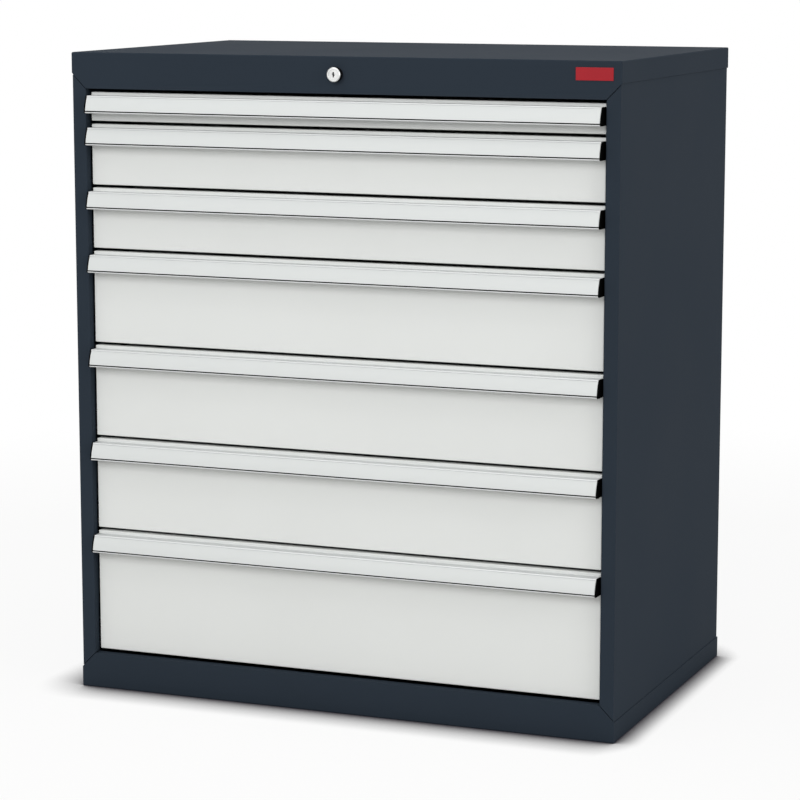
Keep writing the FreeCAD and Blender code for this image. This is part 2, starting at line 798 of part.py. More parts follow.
def make_lock():
    """Build the fixed housing, the turning core, and the shaft with its driving disc and pin."""
    bore = "sizes.core_radius + sizes.core_gap"
    nut_front = f"{FRONT} + sizes.sheet"
    nut_back = f"{nut_front} + sizes.nut_length"
    housing = turned("housing", [
        (COLLAR_FRONT, bore),
        (COLLAR_FRONT, "sizes.collar_radius - sizes.collar_chamfer"),
        (f"{COLLAR_FRONT} + sizes.collar_chamfer", "sizes.collar_radius"),
        (FRONT, "sizes.collar_radius"),
        (FRONT, "sizes.housing_radius"),
        (nut_front, "sizes.housing_radius"),
        (nut_front, "sizes.nut_radius"),
        (nut_back, "sizes.nut_radius"),
        (nut_back, "sizes.housing_radius"),
        (HOUSING_BACK, "sizes.housing_radius"),
        (HOUSING_BACK, bore),
    ])
    barrel = turned("barrel", [
        (CORE_FRONT, "0"),
        (CORE_FRONT, "sizes.core_radius"),
        (CORE_BACK, "sizes.core_radius"),
        (CORE_BACK, "sizes.tail_radius"),
        (TAIL_BACK, "sizes.tail_radius"),
        (TAIL_BACK, "0"),
    ])
    depth = (f"{CORE_FRONT} - sizes.overrun", f"{CORE_FRONT} + sizes.keyway_depth")
    slot = block("keyway_slot", centred("sizes.keyway_width / 2"), depth, centred("sizes.keyway_height / 2"))
    upper_ward = block("upper_ward", ("-sizes.ward_reach", "0"), depth, ("0", "sizes.ward_height"))
    lower_ward = block("lower_ward", ("0", "sizes.ward_reach"), depth, ("-sizes.ward_height", "0"))
    core = cut("core", barrel, fuse("keyway", [slot, upper_ward, lower_ward]))
    rod = cylinder_y("rod", "sizes.shaft_radius", (TAIL_BACK, DISC_FRONT), "0", "0")
    disc = cylinder_y("disc", "sizes.disc_radius", (DISC_FRONT, DISC_BACK), "0", "0")
    pin_place = "-sizes.crank_offset"
    pin = cylinder_y("pin", "sizes.pin_radius", (DISC_BACK, BAR_BACK), pin_place, pin_place)
    shaft = fuse("shaft", [rod, disc, pin])
    for piece, label in ((housing, "lock_housing"), (core, "lock_core"), (shaft, "lock_shaft")):
        piece.setExpression("Placement.Base.z", LOCK_AXIS)
        keep(piece, label)


def make_hook(number):
    """Hook on the lock bar that stands below a drawer's catch until the bar rises."""
    tip = f"({catch_height(number)} - {LIFT} - sizes.hook_clear)"
    foot = f"({tip} - sizes.finger_height)"
    finger_back = f"({CATCH_BACK} - sizes.box_sheet - sizes.hook_gap)"
    finger_front = f"{finger_back} - sizes.bar_sheet"
    across = centred("sizes.hook_width / 2")
    low = f"{foot} - sizes.bar_sheet"
    finger = block(f"hook_{number}_finger", across, (finger_front, finger_back), (low, tip))
    arm = block(f"hook_{number}_arm", across, (finger_back, BAR_FRONT), (low, foot))
    return [finger, arm]


def make_lock_bar():
    """Build the bar behind the drawers, with a slot for the disc's pin and a hook per drawer."""
    slot_height = "sizes.pin_radius + sizes.slot_gap"
    pin_height = f"{LOCK_AXIS} - sizes.crank_offset"
    flat = block(
        "bar_flat",
        centred("sizes.bar_width / 2"),
        (BAR_FRONT, BAR_BACK),
        ("sizes.band_height", f"{LOCK_AXIS} + sizes.bar_head"),
    )
    hooks = [piece for number in DRAWERS for piece in make_hook(number)]
    slot = block(
        "bar_slot",
        (f"-(sizes.crank_offset * sqrt(2) + {slot_height})", f"-(sizes.crank_offset - ({slot_height}))"),
        (f"{BAR_FRONT} - sizes.overrun", f"{BAR_BACK} + sizes.overrun"),
        (f"{pin_height} - ({slot_height})", f"{pin_height} + {slot_height}"),
    )
    keep(cut("bar", fuse("bar_with_hooks", [flat] + hooks), slot), "lock_bar")


def check_model():
    """Stop unless every object was made and every sub-part is a valid shape."""
    for item in doc.Objects:
        if "Invalid" in item.State or "Error" in item.State:
            raise RuntimeError(f"{item.Name} failed: {item.State}")
    for item in nodes:
        if item.Shape.isNull() or not item.Shape.isValid() or not item.Shape.Solids:
            raise RuntimeError(f"{item.Label} has no valid solid")


def write_parts():
    """Write each sub-part to a file of its own name."""
    os.makedirs("parts", exist_ok=True)
    for item in nodes:
        item.Shape.exportStep(f"parts/{item.Label}.step")
        print(item.Label, len(item.Shape.Solids), "solids", round(item.Shape.Volume), "mm3")


fill_sheet()
make_carcass()
make_slides()
make_drawers()
make_lock()
make_lock_bar()
doc.recompute()
check_model()
write_parts()
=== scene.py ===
"""Steel cabinet with seven drawers under grip rails and one central lock: its edges, finishes and light.

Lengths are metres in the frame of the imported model: the origin is the centre of the base's underside,
x runs to the right as seen from the front, y to the back and z up. The drawers open towards -y.
"""
import logging
import math
from collections.abc import Iterable, Sequence
from dataclasses import dataclass
from enum import Enum
from typing import ClassVar

import bmesh
import bpy
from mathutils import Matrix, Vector


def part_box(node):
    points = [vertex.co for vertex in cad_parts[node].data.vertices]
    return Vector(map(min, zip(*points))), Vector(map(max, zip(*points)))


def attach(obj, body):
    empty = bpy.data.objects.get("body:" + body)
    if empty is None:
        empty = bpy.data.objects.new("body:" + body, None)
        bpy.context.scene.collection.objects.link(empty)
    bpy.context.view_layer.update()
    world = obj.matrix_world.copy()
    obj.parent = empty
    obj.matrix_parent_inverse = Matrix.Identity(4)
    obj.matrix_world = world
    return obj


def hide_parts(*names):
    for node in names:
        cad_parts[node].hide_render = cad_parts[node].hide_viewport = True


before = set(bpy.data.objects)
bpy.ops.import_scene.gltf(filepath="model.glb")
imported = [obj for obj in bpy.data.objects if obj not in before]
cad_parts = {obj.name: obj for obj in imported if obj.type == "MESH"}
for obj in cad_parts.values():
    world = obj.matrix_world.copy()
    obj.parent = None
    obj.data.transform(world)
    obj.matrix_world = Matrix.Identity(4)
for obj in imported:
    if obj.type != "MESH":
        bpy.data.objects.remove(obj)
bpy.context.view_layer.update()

MM = 0.001
NODES: dict[str, bpy.types.Object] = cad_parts
DRAWER_NUMBERS = range(1, 8)
WELD_DISTANCE = 0.01 * MM
FLAT_ANGLE = math.radians(1)
EDGE_ANGLE = math.radians(35)
BEND_STEPS, CUT_STEPS = 4, 2
PATTERN_LOW, PATTERN_HIGH = 0.3, 0.7
WHITE = "FFFFFF"
log = logging.getLogger("cabinet")

Colour = tuple[float, float, float, float]


class Axis(Enum):
    """Direction along which a drawn pattern runs."""

    ALONG_X = (0.01, 1.0, 1.0)
    ALONG_Z = (1.0, 1.0, 0.01)


# Helpers for materials

def linear(colour: str) -> Colour:
    """Turn an sRGB hex colour to linear light.

    Args:
        colour: Six hex digits, such as "C0C4C2".

    Returns:
        Red, green, blue and an alpha of one.
    """
    channels = []
    for start in (0, 2, 4):
        value = int(colour[start:start + 2], 16) / 255
        value = value / 12.92 if value <= 0.04045 else ((value + 0.055) / 1.055) ** 2.4
        channels.append(value)
    return channels[0], channels[1], channels[2], 1.0


def add_node(
    tree: bpy.types.NodeTree,
    kind: str,
    inputs: dict[str | int, object] | None = None,
    **settings: object,
) -> bpy.types.Node:
    """Add a node, choose its settings and fill its inputs.

    Args:
        tree: Tree that gets the node.
        kind: Blender's name of the node's type.
        inputs: Value for each input. An output of another node is linked, anything else is set.
        settings: Properties of the node.

    Returns:
        The node.
    """
    made = tree.nodes.new(kind)
    for name, value in settings.items():
        setattr(made, name, value)
    for key, value in (inputs or {}).items():
        if isinstance(value, bpy.types.NodeSocket):
            tree.links.new(value, made.inputs[key])
        else:
            made.inputs[key].default_value = value
    return made


def spread(tree: bpy.types.NodeTree, pattern: bpy.types.NodeSocket, low: float,
           high: float) -> bpy.types.NodeSocket:
    """Stretch the values that a noise mostly has over a range.

    Args:
        tree: Tree that gets the node.
        pattern: The noise.
        low: Result where the noise is weak.
        high: Result where it is strong.

    Returns:
        The stretched values.
    """
    return add_node(tree, "ShaderNodeMapRange", {
        "Value": pattern, "From Min": PATTERN_LOW, "From Max": PATTERN_HIGH,
        "To Min": low, "To Max": high}).outputs[0]


def toned(tree: bpy.types.NodeTree, colour: Colour | bpy.types.NodeSocket,
          tone: bpy.types.NodeSocket) -> bpy.types.NodeSocket:
    """Make a colour, given as a value or an output, lighter or darker by a factor."""
    return add_node(tree, "ShaderNodeHueSaturation", {"Color": colour, "Value": tone}).outputs[0]


def relief(tree: bpy.types.NodeTree, height: bpy.types.NodeSocket, strength: float, depth: float,
           over: bpy.types.NodeSocket | None = None) -> bpy.types.NodeSocket:
    """Bend the surface's normal by a pattern of heights.

    Args:
        tree: Tree that gets the node.
        height: The pattern.
        strength: How much of it shows.
        depth: Depth of the pattern in metres.
        over: Relief that this one lies on.

    Returns:
        The bent normal.
    """
    inputs = {"Height": height, "Strength": strength, "Distance": depth}
    if over is not None:
        inputs["Normal"] = over
    return add_node(tree, "ShaderNodeBump", inputs).outputs[0]


@dataclass(frozen=True)
class Finish:
    """A finish that is made once and shared by every piece that has it.

    Attributes:
        name: Name of the material.
        colour: Main colour as sRGB hex.
        roughness: Middle roughness.
    """

    name: str
    colour: str
    roughness: float

    def material(self) -> bpy.types.Material:
        """Make the material, or give it again when it has been made."""
        made = bpy.data.materials.get(self.name)
        if made is None:
            made = bpy.data.materials.new(self.name)
            made.use_nodes = True
            tree = made.node_tree
            tree.nodes.clear()
            place = add_node(tree, "ShaderNodeTexCoord").outputs["Object"]
            surface = self.surface(tree, place)
            add_node(tree, "ShaderNodeOutputMaterial", {"Surface": surface.outputs[0]})
        return made

    def surface(self, tree: bpy.types.NodeTree, place: bpy.types.NodeSocket) -> bpy.types.Node:
        """Build the shader of this finish.

        Args:
            tree: The material's node tree.
            place: Coordinates in metres, fixed to the piece.

        Returns:
            The shader node.
        """
        raise NotImplementedError


@dataclass(frozen=True)
class PowderCoat(Finish):
    """Powder coat on steel sheet, sprayed dry and baked to a satin film.

    The melted powder flows into an orange peel that softens every highlight, with a finer grit on it,
    and the film's tone drifts a little over a panel.
    """

    peel_mm: float = 3.0
    grit_mm: float = 0.5
    cloud_mm: float = 260.0
    drift: float = 0.05
    specular: float = 0.5

    def surface(self, tree: bpy.types.NodeTree, place: bpy.types.NodeSocket) -> bpy.types.Node:
        """Orange peel and grit in the bump, clouds in the tone and the gloss."""
        clouds = add_node(tree, "ShaderNodeTexNoise", {
            "Vector": place, "Scale": 1 / (self.cloud_mm * MM), "Detail": 3.0, "Roughness": 0.45})
        tone = spread(tree, clouds.outputs[0], 1 - self.drift, 1 + self.drift)
        gloss = spread(tree, clouds.outputs[0], self.roughness - 0.04, self.roughness + 0.04)
        # Real orange peel is about 1.5 mm wide, drawn twice as coarse so that it shows at all
        peel = add_node(tree, "ShaderNodeTexNoise", {
            "Vector": place, "Scale": 1 / (self.peel_mm * MM), "Detail": 1.0, "Roughness": 0.3})
        grit = add_node(tree, "ShaderNodeTexNoise", {
            "Vector": place, "Scale": 1 / (self.grit_mm * MM), "Detail": 2.0})
        swell = relief(tree, peel.outputs[0], 0.5, 0.06 * MM)
        normal = relief(tree, grit.outputs[0], 0.35, 0.02 * MM, swell)
        return add_node(tree, "ShaderNodeBsdfPrincipled", {
            "Base Color": toned(tree, linear(self.colour), tone), "Roughness": gloss,
            "Specular IOR Level": self.specular, "Normal": normal})


@dataclass(frozen=True)
class DrawnMetal(Finish):
    """Bare or anodised metal that was drawn, rolled or extruded in one direction.

    The tool leaves hair lines along its way, which stretch each highlight across them.
    """

    line_mm: float = 0.6
    streak_mm: float = 7.2
    axis: Axis = Axis.ALONG_X
    metallic: float = 1.0
    depth_mm: float = 0.006
    drift: float = 0.03

    def surface(self, tree: bpy.types.NodeTree, place: bpy.types.NodeSocket) -> bpy.types.Node:
        """Hair lines in the bump and the gloss, faint streaks in the colour."""
        # Die lines are some hundredths of a millimetre wide, drawn about ten times as coarse to show
        stretched = add_node(tree, "ShaderNodeMapping", {"Vector": place, "Scale": self.axis.value})
        lines = add_node(tree, "ShaderNodeTexNoise", {
            "Vector": stretched.outputs[0], "Scale": 1 / (self.line_mm * MM), "Detail": 3.0})
        streaks = add_node(tree, "ShaderNodeTexNoise", {
            "Vector": stretched.outputs[0], "Scale": 1 / (self.streak_mm * MM), "Detail": 2.0})
        tone = spread(tree, streaks.outputs[0], 1 - self.drift, 1 + self.drift)
        gloss = spread(tree, lines.outputs[0], self.roughness - 0.05, self.roughness + 0.05)
        normal = relief(tree, lines.outputs[0], 0.5, self.depth_mm * MM)
        return add_node(tree, "ShaderNodeBsdfPrincipled", {
            "Base Color": toned(tree, linear(self.colour), tone), "Metallic": self.metallic,
            "Roughness": gloss, "Normal": normal})


@dataclass(frozen=True)
class ZincPlate(Finish):
    """Electroplated zinc with a clear passivate, on stamped steel.

    The plating is cloudy at the scale of a thumbnail and shifts slightly between blue and yellow.
    """

    cell_mm: float = 9.0
    grain_mm: float = 0.8
    warm_colour: str = "C9C6B4"

    def surface(self, tree: bpy.types.NodeTree, place: bpy.types.NodeSocket) -> bpy.types.Node:
        """Cloudy cells in the colour and gloss, and a fine rolled grain."""
        cells = add_node(tree, "ShaderNodeTexVoronoi", {
            "Vector": place, "Scale": 1 / (self.cell_mm * MM), "Randomness": 1.0})
        clouds = add_node(tree, "ShaderNodeTexNoise", {
            "Vector": place, "Scale": 1 / (3 * self.cell_mm * MM), "Detail": 4.0})
        tint = add_node(tree, "ShaderNodeMix", {
            0: clouds.outputs[0], 6: linear(self.colour), 7: linear(self.warm_colour)}, data_type="RGBA")
        tone = add_node(tree, "ShaderNodeMapRange", {
            "Value": cells.outputs["Distance"], "To Min": 1.04, "To Max": 0.93})
        gloss = spread(tree, clouds.outputs[0], self.roughness - 0.07, self.roughness + 0.07)
        grain = add_node(tree, "ShaderNodeTexNoise", {
            "Vector": place, "Scale": 1 / (self.grain_mm * MM), "Detail": 2.0})
        normal = relief(tree, grain.outputs[0], 0.3, 0.01 * MM)
        return add_node(tree, "ShaderNodeBsdfPrincipled", {
            "Base Color": toned(tree, tint.outputs[2], tone.outputs[0]), "Metallic": 1.0,
            "Roughness": gloss, "Normal": normal})


@dataclass(frozen=True)
class TurnedNickel(Finish):
    """Nickel plate on turned brass.

    The lathe leaves fine rings round the axis, so the highlight fans out across them.
    """

    ring_mm: float = 0.5
    haze_mm: float = 4.0
    axis_height: float = 992 * MM

    def surface(self, tree: bpy.types.NodeTree, place: bpy.types.NodeSocket) -> bpy.types.Node:
        """Rings round the lock's own axis in the bump, a faint haze in the gloss."""
        centred = add_node(tree, "ShaderNodeMapping", {
            "Vector": place, "Location": (0.0, 0.0, -self.axis_height)})
        rings = add_node(tree, "ShaderNodeTexWave", {
            "Vector": centred.outputs[0], "Scale": math.pi / (10 * self.ring_mm * MM),
            "Distortion": 0.4}, wave_type="RINGS", rings_direction="Y")
        haze = add_node(tree, "ShaderNodeTexNoise", {
            "Vector": place, "Scale": 1 / (self.haze_mm * MM), "Detail": 3.0})
        gloss = spread(tree, haze.outputs[0], self.roughness - 0.05, self.roughness + 0.08)
        tone = spread(tree, haze.outputs[0], 0.96, 1.03)
        normal = relief(tree, rings.outputs["Fac"], 0.4, 0.008 * MM)
        return add_node(tree, "ShaderNodeBsdfPrincipled", {
            "Base Color": toned(tree, linear(self.colour), tone), "Metallic": 1.0,
            "Roughness": gloss, "Normal": normal})


@dataclass(frozen=True)
class MouldedPlastic(Finish):
    """Injection-moulded plastic whose skin copies the spark-eroded texture of its mould.

    The fine pits scatter the light, and a clear skin over them adds a weak second shine.
    """

    grain_mm: float = 0.45
    cloud_mm: float = 40.0
    depth_mm: float = 0.02
    coat: float = 0.0
    drift: float = 0.04
    specular: float = 0.5

    def surface(self, tree: bpy.types.NodeTree, place: bpy.types.NodeSocket) -> bpy.types.Node:
        """Mould grain in the bump, slow clouds in the tone and the gloss."""
        grain = add_node(tree, "ShaderNodeTexNoise", {
            "Vector": place, "Scale": 1 / (self.grain_mm * MM), "Detail": 3.0, "Roughness": 0.6})
        clouds = add_node(tree, "ShaderNodeTexNoise", {
            "Vector": place, "Scale": 1 / (self.cloud_mm * MM), "Detail": 2.0})
        tone = spread(tree, clouds.outputs[0], 1 - self.drift, 1 + self.drift)
        gloss = spread(tree, clouds.outputs[0], self.roughness - 0.04, self.roughness + 0.04)
        normal = relief(tree, grain.outputs[0], 0.4, self.depth_mm * MM)
        return add_node(tree, "ShaderNodeBsdfPrincipled", {
            "Base Color": toned(tree, linear(self.colour), tone), "Roughness": gloss,
            "Coat Weight": self.coat, "Coat Roughness": 0.12, "Specular IOR Level": self.specular,
            "Normal": normal})


CARCASS_PAINT = PowderCoat("anthracite_powder_coat", "29313A", 0.8, drift=0.04, specular=0.06)
DRAWER_PAINT = PowderCoat("light_grey_powder_coat", "DADCDA", 0.5, drift=0.012, specular=0.4)
GRIP_METAL = DrawnMetal("satin_anodised_aluminium", "D1D3D3", 0.5, metallic=0.25, drift=0.015)
LABEL_SHEET = MouldedPlastic("white_vinyl_label_strip", "CDD0CF", 0.5, grain_mm=1.5, depth_mm=0.004,
                             drift=0.01)
CAP_NYLON = MouldedPlastic("black_moulded_nylon", "020202", 0.6, specular=0.03)
# Near-black strip in the grips' label slots: painted shade, which darkens the line under each label strip.
SLOT_SHADE_BLACK = MouldedPlastic("slot_painted_shade_black", "030303", 0.7, specular=0.03)
PLATE_LACQUER = MouldedPlastic("red_domed_lacquer", "981A24", 0.4, grain_mm=2.5, depth_mm=0.006,
                               coat=0.03, specular=0.15)
SLIDE_ZINC = ZincPlate("zinc_plated_slide_steel", "B9BEC6", 0.36)
BAR_ZINC = DrawnMetal("bright_rolled_steel", "B4B7BB", 0.4, line_mm=0.7, streak_mm=8.4, axis=Axis.ALONG_Z)
LOCK_NICKEL = TurnedNickel("nickel_plated_brass", "C8C9C8", 0.34)
LOCK_BLACK = PowderCoat("near_black_lock_collar", "08090B", 0.6, peel_mm=1.2, specular=0.1)
# The wafers are real parts of the lock; their near-black colour is painted shade of the deep keyway.
WAFER_SHADE_BLACK = DrawnMetal("keyway_painted_shade_steel", "060606", 0.8, line_mm=0.4, streak_mm=4.8, metallic=0.0)


# Helpers for shapes

@dataclass(frozen=True)
class Easing:
    """How the edges of a piece are softened, in metres.

    Attributes:
        sheet: Thickness of the sheet. An edge between two wider faces is a bend, any other is cut.
        bend: Outside radius of the bends.
        cut: Rounding of cut edges.
    """

    sheet: float
    bend: float
    cut: float

    @classmethod
    def even(cls, width: float) -> "Easing":
        """Soften every edge by the same width, as on a piece that isn't folded sheet."""
        return cls(0.0, width, width)


def strip_width(face: bmesh.types.BMFace) -> float:
    """Width of a face if it is a long strip: twice its area over the length of its rim."""
    return 2 * face.calc_area() / max(face.calc_perimeter(), 1e-9)


def round_edges(shape: bmesh.types.BMesh, edges: Sequence[bmesh.types.BMEdge], radius: float,
                steps: int) -> None:
    """Round a set of edges.

    Args:
        shape: Mesh that the edges belong to.
        edges: Edges to round.
        radius: Distance from each edge to where the rounding starts.
        steps: Number of facets across the rounding.
    """
    if edges and radius > 0:
        bmesh.ops.bevel(shape, geom=list(edges), offset=radius, offset_type="OFFSET", segments=steps,
                        profile=0.5, affect="EDGES", clamp_overlap=False, miter_outer="SHARP")


def outer_edges(shape: bmesh.types.BMesh, least: float = 0.6) -> list[bmesh.types.BMEdge]:
    """Edges that stand out, at which the surface turns by more than an angle in radians."""
    return [edge for edge in shape.edges
            if len(edge.link_faces) == 2 and edge.calc_face_angle_signed() > least]


def ease(shape: bmesh.types.BMesh, easing: Easing) -> None:
    """Round the bends of a sheet and then its cut edges.

    Args:
        shape: Welded mesh with one face for each flat area.
        easing: Radii to use.
    """
    widths = {face: strip_width(face) for face in shape.faces}
    # The face of a cut edge is as wide as the sheet is thick, or a little wider at a mitre
    wide = 1.25 * easing.sheet
    bends = [edge for edge in outer_edges(shape) if min(widths[face] for face in edge.link_faces) > wide]
    round_edges(shape, bends, easing.bend, BEND_STEPS)
    round_edges(shape, outer_edges(shape), easing.cut, CUT_STEPS)


def finish_mesh(name: str, shape: bmesh.types.BMesh) -> bpy.types.Object:
    """Turn an eased mesh into a smooth-shaded object whose flat areas stay flat.

    Args:
        name: Name of the piece.
        shape: Mesh, which is freed here.

    Returns:
        The object, in the scene.
    """
    bmesh.ops.recalc_face_normals(shape, faces=shape.faces)
    for face in shape.faces:
        face.smooth = True
    data = bpy.data.meshes.new(name)
    shape.to_mesh(data)
    shape.free()
    piece = bpy.data.objects.new(name, data)
    bpy.context.scene.collection.objects.link(piece)
    shading = piece.modifiers.new("flat areas", "WEIGHTED_NORMAL")
    shading.keep_sharp = True
    return piece


def clean_copy(node: str) -> bmesh.types.BMesh:
    """Copy a node's mesh, welded, with few flat faces, none of which is hollow or bent round a corner."""
    shape = bmesh.new()
    shape.from_mesh(NODES[node].data)
    bmesh.ops.remove_doubles(shape, verts=shape.verts, dist=WELD_DISTANCE)
    bmesh.ops.dissolve_limit(shape, angle_limit=FLAT_ANGLE, verts=shape.verts, edges=shape.edges)
    bmesh.ops.connect_verts_concave(shape, faces=shape.faces)
    return shape


def eased_copy(node: str, name: str, easing: Easing) -> bpy.types.Object:
    """Copy a node's solid with softened edges.

    Args:
        node: Name of the CAD node.
        name: Name of the new piece.
        easing: Radii to use.

    Returns:
        The new piece, at the node's place.
    """
    shape = clean_copy(node)
    ease(shape, easing)
    return finish_mesh(name, shape)


def shorten_mitres(shape: bmesh.types.BMesh, gap: float) -> None:
    """Draw the 45 degree ends of a stile back along it.

    Args:
        shape: Mesh of a panel. One without such ends stays as it is.
        gap: Width of the gap that opens at each mitre.
    """
    middle = sum(vert.co.z for vert in shape.verts) / len(shape.verts)
    slanted = [face for face in shape.faces
               if abs(face.normal.y) < 0.01 and abs(abs(face.normal.x) - abs(face.normal.z)) < 0.01]
    for vert in {vert for face in slanted for vert in face.verts}:
        vert.co.z += math.copysign(gap * math.sqrt(2), middle - vert.co.z)


def bar_between(name: str, section: Sequence[tuple[float, float]], ends: tuple[float, float],
                easing: Easing) -> bpy.types.Object:
    """Draw out a closed section along x.

    Args:
        name: Name of the piece.
        section: Corners as pairs of y and z.
        ends: Places of the two ends along x.
        easing: Radii for the edges that turn sharply.

    Returns:
        The new piece.
    """
    shape = bmesh.new()
    rims = [[shape.verts.new((end, y, z)) for y, z in section] for end in ends]
    for rim in rims:
        shape.faces.new(rim)
    count = len(section)
    for index in range(count):
        after = (index + 1) % count
        shape.faces.new((rims[0][index], rims[0][after], rims[1][after], rims[1][index]))
    bmesh.ops.recalc_face_normals(shape, faces=shape.faces)
    ease(shape, easing)
    return finish_mesh(name, shape)


def turned_ring(name: str, profile: Sequence[tuple[float, float]], height: float, steps: int = 64,
                rim: float = 0.2 * MM) -> bpy.types.Object:
    """Turn a closed profile about an axis along y.

    Args:
        name: Name of the piece.
        profile: Corners as pairs of a place along y and a radius.
        height: Height of the axis.
        steps: Number of facets round the axis.
        rim: Rounding of the profile's sharp corners.

    Returns:
        The new piece.
    """
    shape = bmesh.new()
    rings = []
    for step in range(steps):
        angle = 2 * math.pi * step / steps
        rings.append([shape.verts.new((radius * math.cos(angle), y, height + radius * math.sin(angle)))
                      for y, radius in profile])
    count = len(profile)
    for step in range(steps):
        here, there = rings[step], rings[(step + 1) % steps]
        for index in range(count):
            after = (index + 1) % count
            shape.faces.new((here[index], here[after], there[after], there[index]))
    bmesh.ops.recalc_face_normals(shape, faces=shape.faces)
    round_edges(shape, outer_edges(shape), rim, CUT_STEPS)
    return finish_mesh(name, shape)


def joined(name: str, pieces: Iterable[bpy.types.Object]) -> bpy.types.Object:
    """Put several pieces that share a node into one object."""
    pieces = list(pieces)
    with bpy.context.temp_override(active_object=pieces[0], selected_editable_objects=pieces):
        bpy.ops.object.join()
    pieces[0].name = name
    return pieces[0]


def dress(piece: bpy.types.Object, finish: Finish) -> None:
    """Give a new piece its only material."""
    piece.data.materials.clear()
    piece.data.materials.append(finish.material())


def stand_for(piece: bpy.types.Object, node: str, body: str) -> None:
    """Let a new piece move with a body and take the place of a node."""
    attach(piece, body)
    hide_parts(node)
    log.info("%s stands for %s on %s, %d faces", piece.name, node, body, len(piece.data.polygons))


def soften_node(node: str, finish: Finish, width: float) -> None:
    """Keep a node as it is, break its edges with modifiers and give it a finish.

    Args:
        node: Name of the CAD node.
        finish: Its finish.
        width: Width of the broken edges in metres.
    """
    piece = NODES[node]
    weld = piece.modifiers.new("weld", "WELD")
    weld.merge_threshold = WELD_DISTANCE
    flats = piece.modifiers.new("flats", "DECIMATE")
    flats.decimate_type = "DISSOLVE"
    flats.angle_limit = FLAT_ANGLE
    edges = piece.modifiers.new("edges", "BEVEL")
    edges.width = width
    edges.segments = CUT_STEPS
    edges.limit_method = "ANGLE"
    edges.angle_limit = EDGE_ANGLE
    edges.use_clamp_overlap = False
    piece.modifiers.new("flat areas", "WEIGHTED_NORMAL")
    for face in piece.data.polygons:
        face.use_smooth = True
    piece.data.materials.clear()
    piece.data.materials.append(finish.material())
    log.info("%s keeps its solid", node)


# Sub-assemblies

@dataclass
class Carcass:
    """Folded steel shell: base tray, top cover, two sides, back panel and the blank plate.

    Attributes:
        front: Place along y of the carcass's front.
        sheet: Thickness of the steel.
        bend: Outside radius of its bends, with the paint on.
        seam: Rounding of its cut edges.
        mitre: Gap between a stile and the bands, which shows as a dark slanting line.
        plate_corner: Rounding of the plate's rim.
    """

    front: ClassVar[float] = -286 * MM
    sheet: float = 1.5 * MM
    bend: float = 2.2 * MM
    seam: float = 0.4 * MM
    mitre: float = 0.45 * MM
    plate_corner: float = 0.3 * MM

    def build(self) -> None:
        """Build the painted panels and the plate."""
        easing = Easing(self.sheet, self.bend, self.seam)
        for node in ("base_tray", "top_cover", "side_panel_left", "side_panel_right", "back_panel"):
            shape = clean_copy(node)
            shorten_mitres(shape, self.mitre)
            ease(shape, easing)
            panel = finish_mesh(f"{node}_folded", shape)
            dress(panel, CARCASS_PAINT)
            stand_for(panel, node, "cabinet")
        plate = eased_copy("name_plate", "blank_plate", Easing.even(self.plate_corner))
        dress(plate, PLATE_LACQUER)
        stand_for(plate, "name_plate", "cabinet")


